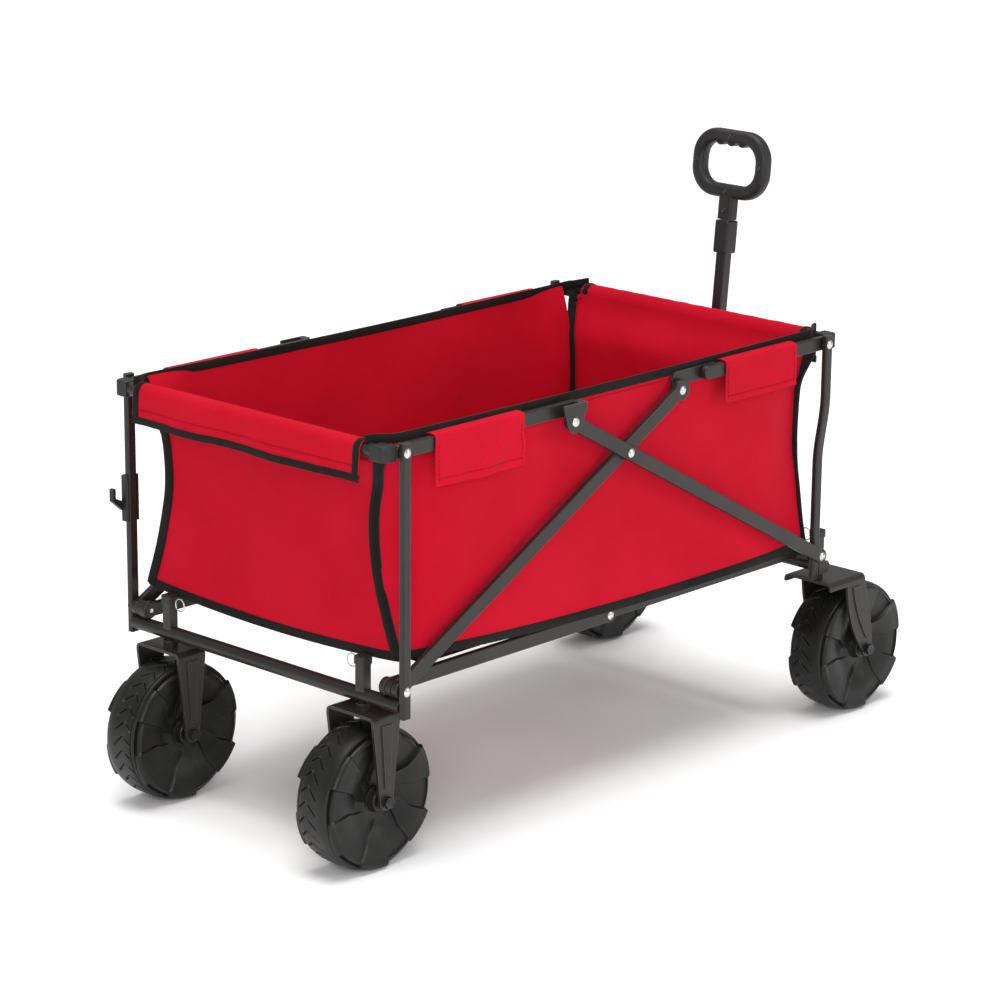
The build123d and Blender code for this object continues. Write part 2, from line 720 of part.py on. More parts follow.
# Fold latch on the left rear post
def fold_latch():
    """A plastic clip on the post, with a hook that catches the folded front frame's strap."""
    y = outer_layer[0] + (post_thickness + latch_wall) / 2
    low = latch_centre_height - latch_height / 2
    depth = post_depth + 2 * latch_wall
    width = post_thickness + latch_wall
    clip = upright_box(rear_x, y, low, low + latch_height, depth, width, latch_round)
    groove_width = post_thickness + 2 * seat_gap
    groove = Pos(rear_x, outer_layer[0] + groove_width / 2 - seat_gap, latch_centre_height) * Box(
        post_depth + 2 * seat_gap, groove_width, latch_height + 2 * sliver
    )
    hook_x = rear_x - post_depth / 2 - latch_wall
    tip_x = hook_x - latch_hook_reach
    hook = Polygon(
        (hook_x, latch_centre_height - latch_hook_root_low),
        (tip_x, latch_centre_height - latch_hook_floor),
        (tip_x, latch_centre_height + latch_hook_tip),
        (tip_x + latch_hook_wall, latch_centre_height + latch_hook_tip),
        (tip_x + latch_hook_wall, latch_centre_height + latch_hook_floor),
        (hook_x, latch_centre_height - latch_hook_root_high),
        align=None,
    )
    clip += across(hook, (outer_layer[0] + sliver, outer_layer[1] - sliver), 1)
    return clip - groove


save("fold_latch", fold_latch())


# Pull handle, built upright from its pivot and then leaned forward
handle_place = Pos(front_x + handle_pivot_ahead, 0, handle_pivot_height) * Rot(0, handle_lean, 0)
handle_bore = handle_tube_size - 2 * handle_tube_wall
outer_tube_top = collar_start + collar_overlap
inner_tube_top = neck_start + neck_socket_share * (grip_start - neck_start)


def square_tube(bottom, top, size, round_radius):
    """An upright square bar of the handle."""
    return extrude(Pos(0, 0, bottom) * RectangleRounded(size, size, round_radius), amount=top - bottom)


def handle_bracket():
    """Two ears welded around the front cross tube that carry the handle's pivot bolt."""
    tube_centre = (caster_x, cross_tube_height)
    pivot = (front_x + handle_pivot_ahead, handle_pivot_height)
    profile = bar_profile(tube_centre, pivot, 2 * ear_radius, ear_radius, ear_radius)
    profile -= disc(*tube_centre, tube_radius)
    profile -= disc(*pivot, pin_radius + seat_gap)
    inner = handle_tube_size / 2 + free_gap
    return [across(profile, (inner, inner + ear_thickness), side) for _, side in SIDES]


def handle_pivot_bolt():
    """The bolt through both ears and the foot of the handle."""
    half = handle_tube_size / 2 + free_gap + ear_thickness
    pivot = (front_x + handle_pivot_ahead, handle_pivot_height)
    bolt = cross_pin(*pivot, pin_radius, (-half, half), 1)
    for _, side in SIDES:
        bolt += cross_pin(*pivot, pin_diameter, (half, half + rivet_head_height), side)
    return bolt


def handle_tube():
    """The lower square tube, with a solid round-ended foot and an open top."""
    foot = across(disc(0, 0, handle_tube_size / 2), (-handle_tube_size / 2, handle_tube_size / 2), 1)
    tube = square_tube(0, outer_tube_top, handle_tube_size, handle_tube_round) + foot
    tube -= square_tube(handle_tube_size, outer_tube_top + sliver, handle_bore, handle_bore_round)
    return tube - cross_pin(0, 0, pin_radius + running_gap, (-handle_tube_size, handle_tube_size), 1)


def handle_collar():
    """The plastic collar that seats on the lower tube and guides the upper one."""
    collar_top = collar_start + collar_length
    collar = square_tube(collar_start, collar_top, collar_size, collar_round)
    rims = (collar.faces().sort_by(Axis.Z)[0], collar.faces().sort_by(Axis.Z)[-1])
    collar = fillet([edge for rim in rims for edge in rim.edges()], collar_rim_round)
    seat_size = handle_tube_size + 2 * seat_gap
    collar -= square_tube(collar_start - sliver, outer_tube_top + seat_gap, seat_size, handle_tube_round)
    way = square_tube(outer_tube_top - sliver, collar_top + sliver, handle_bore, handle_bore_round)
    return collar - way


def handle_inner_tube():
    """The upper square tube, which slides in the lower one."""
    tube = square_tube(inner_tube_start, inner_tube_top, inner_tube_size, inner_tube_round)
    inner_bore = inner_tube_size - 2 * handle_tube_wall
    way = square_tube(inner_tube_start - sliver, inner_tube_top + sliver, inner_bore, inner_bore_round)
    return tube - way


def handle_grip():
    """A closed loop grip with a neck that seats on the upper tube."""
    centre = grip_start + grip_length / 2
    outline = Pos(0, centre) * RectangleRounded(grip_width, grip_length, grip_corner)
    opening_width = grip_width - 2 * grip_side_bar
    opening_length = grip_length - 2 * grip_bar
    outline -= Pos(0, centre) * RectangleRounded(opening_width, opening_length, grip_opening_corner)
    loop = extrude(Plane.YZ.offset(-grip_depth / 2) * outline, amount=grip_depth)
    faces = (loop.faces().sort_by(Axis.X)[0], loop.faces().sort_by(Axis.X)[-1])
    loop = fillet([edge for face in faces for edge in face.edges()], grip_edge_round)
    finger_height = centre + opening_length / 2 + finger_radius - finger_depth
    for step in (-1, 0, 1):
        bump = Pos(step * finger_spacing, finger_height) * Circle(finger_radius)
        loop += extrude(Plane.YZ.offset(-finger_length / 2) * bump, amount=finger_length)
    neck_top = grip_start + grip_bar / 2
    neck_outline = RectangleRounded(grip_depth - 2 * neck_inset, neck_width, neck_round)
    neck = extrude(Pos(0, 0, neck_start) * neck_outline, amount=neck_top - neck_start)
    seat_size = inner_tube_size + 2 * seat_gap
    seat = square_tube(neck_start - sliver, inner_tube_top + seat_gap, seat_size, inner_tube_round)
    return loop + neck - seat


save("handle_bracket", *handle_bracket())
save("handle_pivot_bolt", handle_pivot_bolt())
save("handle_tube", handle_place * handle_tube())
save("handle_collar", handle_place * handle_collar())
save("handle_inner_tube", handle_place * handle_inner_tube())
save("handle_grip", handle_place * handle_grip())


# Fabric tub and the covers that wrap its rim over the top rails
def side_panel(side):
    """One long side of the tub, just inboard of the links."""
    near = rear_x + end_panel_offset
    far = front_x - end_panel_offset
    profile = Pos((near + far) / 2, (tub_bottom_height + tub_top_height) / 2) * Rectangle(
        far - near, tub_top_height - tub_bottom_height
    )
    return across(profile, (tub_side_outer - cloth_thickness, tub_side_outer), side)


def end_panel(x, inward, half_width):
    """One end of the tub, between the posts."""
    middle = x + inward * (end_panel_offset + cloth_thickness / 2)
    return Pos(middle, 0, (tub_bottom_height + tub_top_height) / 2) * Box(
        cloth_thickness, 2 * half_width, tub_top_height - tub_bottom_height
    )


save("tub_sides", *[side_panel(side) for _, side in SIDES])
save("tub_end_rear", end_panel(rear_x, 1, floor_layer[0] - panel_corner_gap))
save("tub_end_front", end_panel(front_x, -1, floor_inner_layer[0] - panel_corner_gap))


def flap(start, length, side):
    """A cloth channel over a top rail, open underneath."""
    low = rail_height + bar_height / 2 - flap_drop
    high = rail_height + bar_height / 2 + free_gap + flap_thickness
    middle = Pos(start + length / 2, (low + high) / 2)
    outline = middle * Rectangle(length, high - low)
    outside = (rail_layer[0] - free_gap - flap_thickness, rail_layer[1] + free_gap + flap_thickness)
    inside = (rail_layer[0] - free_gap, rail_layer[1] + free_gap)
    gap = Pos(0, -flap_thickness) * middle * Rectangle(length + 2 * sliver, high - low)
    return across(outline, outside, side) - across(gap, inside, side)


def sleeve(tube_x):
    """A cloth channel over an end cross tube, open underneath."""
    low = rail_height - sleeve_drop
    high = rail_height + tube_radius + free_gap + flap_thickness
    reach = tube_radius + free_gap
    middle = Pos(tube_x, 0, (low + high) / 2)
    outside = middle * Box(2 * (reach + flap_thickness), 2 * sleeve_half_width, high - low)
    channel = Box(2 * reach, 2 * (sleeve_half_width + sliver), high - low)
    return outside - Pos(0, 0, -flap_thickness) * middle * channel


rear_flap_length = rear_flap_end - (rear_x + rear_flap_start)
rear_covers = [flap(rear_x + rear_flap_start, rear_flap_length, side) for _, side in SIDES]
save("rear_rim_covers", sleeve(rear_x - top_tube_behind_pivot), *rear_covers)
front_flap_length = front_x - front_flap_start - front_flap_end
front_covers = [flap(front_flap_end, front_flap_length, side) for _, side in SIDES]
save("front_rim_covers", sleeve(front_x + top_tube_behind_pivot), *front_covers)
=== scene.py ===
import math

import bmesh
import bpy
from mathutils import Euler, Matrix, Vector, noise


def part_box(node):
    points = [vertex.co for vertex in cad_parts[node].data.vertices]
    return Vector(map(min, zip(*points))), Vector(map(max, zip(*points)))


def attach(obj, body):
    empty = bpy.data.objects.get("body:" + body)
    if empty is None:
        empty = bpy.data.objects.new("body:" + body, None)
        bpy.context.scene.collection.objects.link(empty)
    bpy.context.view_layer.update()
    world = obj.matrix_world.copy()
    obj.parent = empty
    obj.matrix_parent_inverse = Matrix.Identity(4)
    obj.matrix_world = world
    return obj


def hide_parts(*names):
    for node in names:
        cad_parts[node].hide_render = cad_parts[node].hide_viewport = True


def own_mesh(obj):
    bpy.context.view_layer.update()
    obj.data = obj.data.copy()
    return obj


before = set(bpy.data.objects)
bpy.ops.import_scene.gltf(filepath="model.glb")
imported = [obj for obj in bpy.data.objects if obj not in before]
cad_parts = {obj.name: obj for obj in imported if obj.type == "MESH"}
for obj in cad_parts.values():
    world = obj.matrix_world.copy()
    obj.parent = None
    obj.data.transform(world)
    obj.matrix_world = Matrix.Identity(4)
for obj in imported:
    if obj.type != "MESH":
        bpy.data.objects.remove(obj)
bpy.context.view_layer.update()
scene = bpy.context.scene


# The room: a pale seamless floor, an even white surround and soft studio lamps.
# A broad light overhead gives the soft shadow, and lower lamps light the near side and the near end.
# The viewer looks at the near rear corner, a little above the rim of the tub.
FLOOR_SIZE = 60.0

room = bmesh.new()
bmesh.ops.create_grid(room, x_segments=8, y_segments=8, size=FLOOR_SIZE / 2)
floor_mesh = bpy.data.meshes.new("studio_floor")
room.to_mesh(floor_mesh)
floor = bpy.data.objects.new("studio_floor", floor_mesh)
scene.collection.objects.link(floor)


def new_finish(name, colour, roughness, metallic=0.0):
    """A material with its shader set, and what is needed to add to it."""
    finish = bpy.data.materials.new(name)
    finish.use_nodes = True
    shader = finish.node_tree.nodes["Principled BSDF"]
    shader.inputs["Base Color"].default_value = (*colour, 1)
    shader.inputs["Roughness"].default_value = roughness
    shader.inputs["Metallic"].default_value = metallic
    return finish, finish.node_tree.nodes, finish.node_tree.links, shader


paper, _, _, paper_shader = new_finish("pale_paper", (0.93, 0.93, 0.93), 0.9)
paper_shader.inputs["Specular IOR Level"].default_value = 0.1
floor_mesh.materials.append(paper)

surround = bpy.data.worlds.new("white_surround")
surround.use_nodes = True
surround.node_tree.nodes["Background"].inputs["Color"].default_value = (1, 1, 1, 1)
surround.node_tree.nodes["Background"].inputs["Strength"].default_value = 0.50
backdrop = surround.node_tree.nodes.new("ShaderNodeBackground")
seen = surround.node_tree.nodes.new("ShaderNodeLightPath")
either = surround.node_tree.nodes.new("ShaderNodeMixShader")
surround.node_tree.links.new(seen.outputs["Is Camera Ray"], either.inputs[0])
surround.node_tree.links.new(surround.node_tree.nodes["Background"].outputs[0], either.inputs[1])
surround.node_tree.links.new(backdrop.outputs[0], either.inputs[2])
surround.node_tree.links.new(either.outputs[0], surround.node_tree.nodes["World Output"].inputs["Surface"])
backdrop.inputs["Color"].default_value = (1, 1, 1, 1)
backdrop.inputs["Strength"].default_value = 1.02
scene.world = surround
scene.view_settings.view_transform = "Standard"


def lamp(name, place, target, size, power):
    """A square soft lamp that points at a target."""
    data = bpy.data.lights.new(name, "AREA")
    data.size = size
    data.energy = power
    made = bpy.data.objects.new(name, data)
    made.location = place
    made.rotation_euler = (Vector(target) - Vector(place)).to_track_quat("-Z", "Y").to_euler()
    scene.collection.objects.link(made)


lamp("key_lamp", (-3.3, -3.1, 2.0), (0, 0, 0.3), 1.6, 80)
lamp("side_lamp", (1.6, -3.6, 1.7), (0.2, 0, 0.3), 1.6, 30)
lamp("top_lamp", (0.2, 1.2, 3.8), (0, 0, 0.5), 2.4, 25)

ceiling = bpy.data.lights.new("ceiling_light", "SUN")
ceiling.angle = math.radians(38)
ceiling.energy = 2.35
overhead = bpy.data.objects.new("ceiling_light", ceiling)
overhead.rotation_euler = Vector((0.10, 0.10, -1.0)).to_track_quat("-Z", "Y").to_euler()
scene.collection.objects.link(overhead)

view_data = bpy.data.cameras.new("studio_camera")
view_data.lens = 123.9
view_data.sensor_width = 36
view_data.dof.use_dof = False
camera = bpy.data.objects.new("studio_camera", view_data)
camera.location = (-3.534, -3.280, 1.7235)
camera.rotation_euler = Euler([math.radians(turn) for turn in (74.358, -0.497, -46.832)])
scene.collection.objects.link(camera)
scene.camera = camera


# The folding frame: flat-sided and round steel tubes, forks and brackets, welded and riveted.
# All of it is powder coated in a dark charcoal satin, and its edges are lightened with painted highlights.
# The CAD shapes are right as they are, so they only take the finish.
STEEL_NODES = (
    "rear_post_left", "rear_post_right", "front_post_left", "front_post_right",
    "rear_cross_tube", "rear_stem_sockets", "front_cross_tube", "front_stem_sockets",
    "link_a_left", "link_a_right", "link_b_left", "link_b_right",
    "rear_top_tube", "front_top_tube",
    "rear_rail_left", "rear_rail_right", "front_rail_left", "front_rail_right",
    "rear_rail_knuckles", "floor_rail_rear_left", "floor_rail_rear_right",
    "floor_rail_front_left", "floor_rail_front_right", "rear_fork_left", "rear_fork_right",
    "caster_fork_left", "caster_fork_right", "handle_bracket", "handle_tube",
)
COAT_GRAIN = 900.0
EDGE_WIDTH = 0.0012


def mottle(nodes, links, shader, dark, light, scale, detail=4.0):
    """Vary the base colour between two tones in soft patches, and return the mix."""
    place = nodes.new("ShaderNodeTexCoord")
    patches = nodes.new("ShaderNodeTexNoise")
    patches.inputs["Scale"].default_value = scale
    patches.inputs["Detail"].default_value = detail
    links.new(place.outputs["Object"], patches.inputs["Vector"])
    tones = nodes.new("ShaderNodeValToRGB")
    tones.color_ramp.elements[0].position = 0.32
    tones.color_ramp.elements[0].color = (*dark, 1)
    tones.color_ramp.elements[1].position = 0.68
    tones.color_ramp.elements[1].color = (*light, 1)
    links.new(patches.outputs["Fac"], tones.inputs["Fac"])
    links.new(tones.outputs["Color"], shader.inputs["Base Color"])
    return tones


def grain(nodes, links, shader, scale, strength, distance, rough_low, rough_high):
    """Fine bumps, and a roughness that varies with them."""
    place = nodes.new("ShaderNodeTexCoord")
    speck = nodes.new("ShaderNodeTexNoise")
    speck.inputs["Scale"].default_value = scale
    speck.inputs["Detail"].default_value = 3.0
    links.new(place.outputs["Object"], speck.inputs["Vector"])
    bump = nodes.new("ShaderNodeBump")
    bump.inputs["Strength"].default_value = strength
    bump.inputs["Distance"].default_value = distance
    links.new(speck.outputs["Fac"], bump.inputs["Height"])
    links.new(bump.outputs["Normal"], shader.inputs["Normal"])
    spread = nodes.new("ShaderNodeMapRange")
    spread.inputs["To Min"].default_value = rough_low
    spread.inputs["To Max"].default_value = rough_high
    links.new(speck.outputs["Fac"], spread.inputs["Value"])
    links.new(spread.outputs["Result"], shader.inputs["Roughness"])
    return bump


# A painted highlight along every edge, lightened into the base colour whatever the light.
def painted_edge_highlights(nodes, links, shader, tones, highlight_colour, width, share):
    """Paint highlights into the colour where a bevelled normal differs from the real one, which is along the
    edges.
    """
    soft = nodes.new("ShaderNodeBevel")
    soft.samples = 4
    soft.inputs["Radius"].default_value = width
    real = nodes.new("ShaderNodeNewGeometry")
    match = nodes.new("ShaderNodeVectorMath")
    match.operation = "DOT_PRODUCT"
    links.new(soft.outputs["Normal"], match.inputs[0])
    links.new(real.outputs["Normal"], match.inputs[1])
    edge = nodes.new("ShaderNodeMapRange")
    edge.inputs["From Min"].default_value = 0.995
    edge.inputs["From Max"].default_value = 0.90
    edge.inputs["To Max"].default_value = share
    links.new(match.outputs["Value"], edge.inputs["Value"])
    mix = nodes.new("ShaderNodeMix")
    mix.data_type = "RGBA"
    mix.inputs["B"].default_value = (*highlight_colour, 1)
    links.new(edge.outputs["Result"], mix.inputs["Factor"])
    links.new(tones.outputs["Color"], mix.inputs["A"])
    links.new(mix.outputs["Result"], shader.inputs["Base Color"])


def wear(finish, *names):
    """Put one finish on CAD nodes."""
    for name in names:
        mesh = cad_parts[name].data
        mesh.materials.clear()
        mesh.materials.append(finish)


coated_steel, nodes, links, shader = new_finish("charcoal_powder_coat", (0.026, 0.023, 0.021), 0.40)
tones = mottle(nodes, links, shader, (0.014, 0.012, 0.011), (0.022, 0.019, 0.017), 14.0)
grain(nodes, links, shader, COAT_GRAIN, 0.12, 0.0004, 0.30, 0.44)
# Painted highlight: the frame's edges are lightened in its colour.
painted_edge_highlights(nodes, links, shader, tones, (0.15, 0.135, 0.125), EDGE_WIDTH, 0.5)
shader.inputs["Specular IOR Level"].default_value = 0.32
wear(coated_steel, *STEEL_NODES)


# The rivets and pivot pins of the frame, and the wire rings beside the wheel sockets.
# They are bright zinc-plated steel with fine turning marks and a few dull patches.
# Each rivet was set with a domed head outside; the wire rings are bent from spring wire.
ZINC_NODES = (
    "rear_post_pins", "front_post_pins", "link_rivets", "floor_hinge_rivets",
    "rear_hitch_clips", "front_hitch_clips", "handle_pivot_bolt",
)
bright_zinc, nodes, links, shader = new_finish("bright_zinc", (0.62, 0.61, 0.58), 0.28, 1.0)
tones = mottle(nodes, links, shader, (0.50, 0.49, 0.47), (0.72, 0.71, 0.68), 160.0)
grain(nodes, links, shader, 1800.0, 0.10, 0.0003, 0.20, 0.38)
wear(bright_zinc, *ZINC_NODES)


# The heads of the two rivets through the rear rails' upper knuckles, set outboard on the knuckle plates.
# They are the same bright zinc-plated steel, domed by the riveting tool.
# Each is a thin cap over the CAD's own head, and turns with the rear rails.
RIVET_HEAD = 0.0067
HEAD_HEIGHT = 0.0026
PIVOT_DISC = 0.0155
DOME = ((1.0, 0.0), (1.0, 0.25), (0.93, 0.55), (0.75, 0.84), (0.5, 0.98), (0.2, 1.06), (0.02, 1.08))
DOME_SIDES = 40


def mesh_piece(name, corners, faces, finish, sharp=35):
    """A new piece from its corners and faces, shaded smooth except over sharp edges."""
    mesh = bpy.data.meshes.new(name)
    mesh.from_pydata([tuple(corner) for corner in corners], [], faces)
    mesh.validate()
    tidy = bmesh.new()
    tidy.from_mesh(mesh)
    bmesh.ops.recalc_face_normals(tidy, faces=tidy.faces)
    tidy.to_mesh(mesh)
    tidy.free()
    mesh.materials.append(finish)
    mesh.shade_smooth()
    mesh.set_sharp_from_angle(angle=math.radians(sharp))
    made = bpy.data.objects.new(name, mesh)
    scene.collection.objects.link(made)
    return made


knuckles_low, knuckles_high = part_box("rear_rail_knuckles")
for hand, side in (("left", 1), ("right", -1)):
    base = Vector((
        (knuckles_low.x + knuckles_high.x) / 2,
        side * (knuckles_high.y - HEAD_HEIGHT),
        knuckles_low.z + PIVOT_DISC,
    ))
    corners = []
    for share, lift in DOME:
        for turn in range(DOME_SIDES):
            angle = 2 * math.pi * turn / DOME_SIDES
            reach = share * RIVET_HEAD
            spot = Vector((reach * math.cos(angle), side * lift * HEAD_HEIGHT, reach * math.sin(angle)))
            corners.append(base + spot)
    last = (len(DOME) - 1) * DOME_SIDES
    faces = [tuple(range(DOME_SIDES)), tuple(last + turn for turn in range(DOME_SIDES))]
    for ring in range(len(DOME) - 1):
        for turn in range(DOME_SIDES):
            one = ring * DOME_SIDES + turn
            two = ring * DOME_SIDES + (turn + 1) % DOME_SIDES
            faces.append((one, two, two + DOME_SIDES, one + DOME_SIDES))
    head = mesh_piece(f"knuckle_rivet_head_{hand}", corners, faces, bright_zinc, 40)
    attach(head, "rear_top_rails")


# The moulded plastic of the frame: socket caps, pin bushes, corner elbows, fold latch and handle collar.
# It is black nylon with a fine spark-eroded grain, and its edges are lightened with painted highlights.
# The axle bolts are black oxide steel with the same dull shine, their edges lightened with painted
# highlights.
PLASTIC_NODES = (
    "rear_socket_caps", "front_socket_caps", "rear_pin_bushes", "front_pin_bushes",
    "rear_elbows", "front_elbows", "fold_latch", "handle_collar", "handle_grip",
)
black_nylon, nodes, links, shader = new_finish("black_nylon", (0.016, 0.016, 0.016), 0.45)
tones = mottle(nodes, links, shader, (0.012, 0.012, 0.012), (0.021, 0.020, 0.020), 30.0)
grain(nodes, links, shader, 1300.0, 0.22, 0.0004, 0.38, 0.55)
# Painted highlight: the nylon's edges are lightened in its colour.
painted_edge_highlights(nodes, links, shader, tones, (0.06, 0.058, 0.056), EDGE_WIDTH, 0.5)
shader.inputs["Specular IOR Level"].default_value = 0.28
wear(black_nylon, *PLASTIC_NODES)

black_oxide, nodes, links, shader = new_finish("black_oxide", (0.03, 0.03, 0.032), 0.36, 0.85)
tones = mottle(nodes, links, shader, (0.022, 0.022, 0.024), (0.05, 0.05, 0.052), 120.0)
grain(nodes, links, shader, 1500.0, 0.12, 0.0003, 0.28, 0.44)
# Painted highlight: the bolts' edges are lightened to pale grey in their colour.
painted_edge_highlights(nodes, links, shader, tones, (0.24, 0.24, 0.24), 0.0008, 0.6)
wear(black_oxide, "rear_axle_bolts", "caster_axle_bolt_left", "caster_axle_bolt_right")

satin_steel, nodes, links, shader = new_finish("inner_tube_steel", (0.16, 0.155, 0.15), 0.3, 0.9)
tones = mottle(nodes, links, shader, (0.12, 0.115, 0.11), (0.21, 0.205, 0.20), 45.0)
grain(nodes, links, shader, 1200.0, 0.08, 0.0003, 0.22, 0.36)
wear(satin_steel, "handle_inner_tube")


# The four wheels: hollow black polyethylene mouldings, each a tread band between two dished side discs.
# The tread is cut with chevron grooves, and each disc has six raised petals that stand out past its rim.
# A wheel turns on its axle bolt between the legs of its fork.
PETALS = 6
CHEVRONS = 30
WHEEL_COLUMNS = 360
PETAL_STEP = 0.0070
RIM_STEP = 0.0068
PETAL_SWIRL = 0.55
RAISED_SHARE = 0.52
CHEVRON_DEPTH = 0.0030
CHEVRON_SLOPE = 9.0
CHEVRON_REACH = 0.0165

wheel_low, wheel_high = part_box("rear_wheel_right")
wheel_radius = (wheel_high.z - wheel_low.z) / 2
axle_hole = 0.0051
hub_edge = 0.0190
tread_half = 0.0265
chevron_point = -0.0085


def smooth_step(value, low, high):
    """From 0 at low to 1 at high, with no kink."""
    share = min(max((value - low) / (high - low), 0.0), 1.0)
    return share * share * (3 - 2 * share)


def petal_height(column):
    """How high a petal stands at a column of the disc: one edge is full height, the other a little lower."""
    turn = column * PETALS / WHEEL_COLUMNS % 1.0
    rise = smooth_step(turn, 0.0, 0.034)
    fall = 1 - smooth_step(turn, RAISED_SHARE, RAISED_SHARE + 0.034)
    return rise * fall * (1 - 0.5 * turn / RAISED_SHARE)


def in_groove(column):
    """Whether a column of the tread runs along the bottom of a groove."""
    return 1 <= column % (WHEEL_COLUMNS // CHEVRONS) <= 2


def disc_rows():
    """A side disc's outline from the bore over the hub and the dish to the rim: radius, place across."""
    rows = [(axle_hole, 0.0345), (0.0118, 0.0345), (0.0126, 0.0356), (0.0150, 0.0356), (0.0162, 0.0345)]
    rows += [(0.0170, 0.0290), (hub_edge, 0.0245)]
    for step in range(1, 24):
        radius = hub_edge + 0.0030 * step
        rows.append((radius, 0.0245 + 0.0139 * smooth_step(radius, hub_edge - 0.004, 0.078)))
    rows += [(0.0910, 0.0380), (0.0940, 0.0372), (0.0963, 0.0356), (0.0979, 0.0332), (0.0984, 0.0305)]
    return rows + [(0.0976, 0.0284), (0.0958, 0.0276), (0.0968, 0.0270)]


def tread_rows():
    """Places across the tread, outboard to inboard, with one on the chevrons' point."""
    rows = [tread_half - 0.0010 * step for step in range(4)]
    rows += [0.0230 - (0.0230 - chevron_point) * step / 10 for step in range(1, 11)]
    rows += [chevron_point + (-0.0212 - chevron_point) * step / 5 for step in range(1, 6)]
    return rows + [-0.0218, -0.0224, -0.0234, -0.0240, -0.0252, -tread_half]


def wheel_point(column, radius, across, tread):
    """A corner of the moulding at a column and a row, with its petal, groove and twist."""
    angle = 2 * math.pi * column / WHEEL_COLUMNS
    if tread:
        angle -= CHEVRON_SLOPE * min(abs(across - chevron_point), CHEVRON_REACH)
        shoulder = smooth_step(CHEVRON_REACH + chevron_point - across, -0.0010, 0.0012)
        shoulder *= smooth_step(across, -0.0216, -0.0200)
        if abs(across - chevron_point) < 0.0009:
            shoulder = 0.0
        radius -= 0.0030 * smooth_step(abs(across), 0.010, tread_half + 0.004) ** 2
        if in_groove(column):
            radius -= CHEVRON_DEPTH * shoulder
        if -0.0236 < across < -0.0222:
            radius -= 0.0018
        return angle, radius, across
    rim_twist = -CHEVRON_SLOPE * CHEVRON_REACH
    outer = smooth_step(radius, 0.16 * wheel_radius, 0.62 * wheel_radius)
    angle += rim_twist * outer - PETAL_SWIRL * (1 - outer)
    if radius > hub_edge and (radius < 0.09 or abs(across) > 0.0278):
        sunk = (1 - petal_height(column)) * smooth_step(radius, 0.22 * wheel_radius, 0.38 * wheel_radius)
        rim = smooth_step(radius, 0.086, 0.095)
        across -= math.copysign(PETAL_STEP * sunk * (1 - 0.65 * rim), across)
        radius -= RIM_STEP * sunk * rim
    return angle, radius, across


def wheel(name, node, flip, finish):
    """One wheel around its CAD wheel's middle. flip is 1 or -1, and turns the chevrons' long arm outboard."""
    low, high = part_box(node)
    middle = (low + high) / 2
    disc = disc_rows()
    section = [(radius, across, False) for radius, across in disc]
    section += [(wheel_radius, across, True) for across in tread_rows()]
    section += [(radius, -across, False) for radius, across in reversed(disc)]
    rows = len(section)
    corners = []
    for column in range(WHEEL_COLUMNS):
        for radius, across, tread in section:
            angle, out, beside = wheel_point(column, radius, across, tread)
            corners.append(middle + Vector((out * math.sin(angle), flip * beside, out * math.cos(angle))))
    faces = []
    for column in range(WHEEL_COLUMNS):
        beside = (column + 1) % WHEEL_COLUMNS
        for row in range(rows):
            above = (row + 1) % rows
            one, two = column * rows, beside * rows
            faces.append((one + row, two + row, two + above, one + above))
    return mesh_piece(name, corners, faces, finish, 32)


moulded_black, nodes, links, shader = new_finish("moulded_polyethylene", (0.013, 0.013, 0.013), 0.4)
tones = mottle(nodes, links, shader, (0.006, 0.006, 0.0055), (0.012, 0.012, 0.011), 26.0)
grain(nodes, links, shader, 700.0, 0.18, 0.0005, 0.30, 0.48)
# Painted highlight: the wheels' edges are lightened in their colour.
painted_edge_highlights(nodes, links, shader, tones, (0.05, 0.048, 0.046), 0.0015, 0.5)
shader.inputs["Specular IOR Level"].default_value = 0.26

for end in ("rear", "front"):
    for hand, side in (("left", 1), ("right", -1)):
        node = f"{end}_wheel_{hand}"
        tyre = wheel(f"{end}_moulded_wheel_{hand}", node, side, moulded_black)
        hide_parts(node)
        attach(tyre, node)


# The tub's fabric: red coated polyester cloth, woven fine, with a faint crease and shade over its panels.
# Its panels hang from the top rails and are cut, sewn and bound along every edge.
# The long sides stay with the rear frame when the frame closes.
CLOTH = 0.0014
THREAD = 0.0011
TAPE_WIDTH = 0.013
TAPE_THICK = 0.0040
FULL_TAPE_THICK = 0.0042


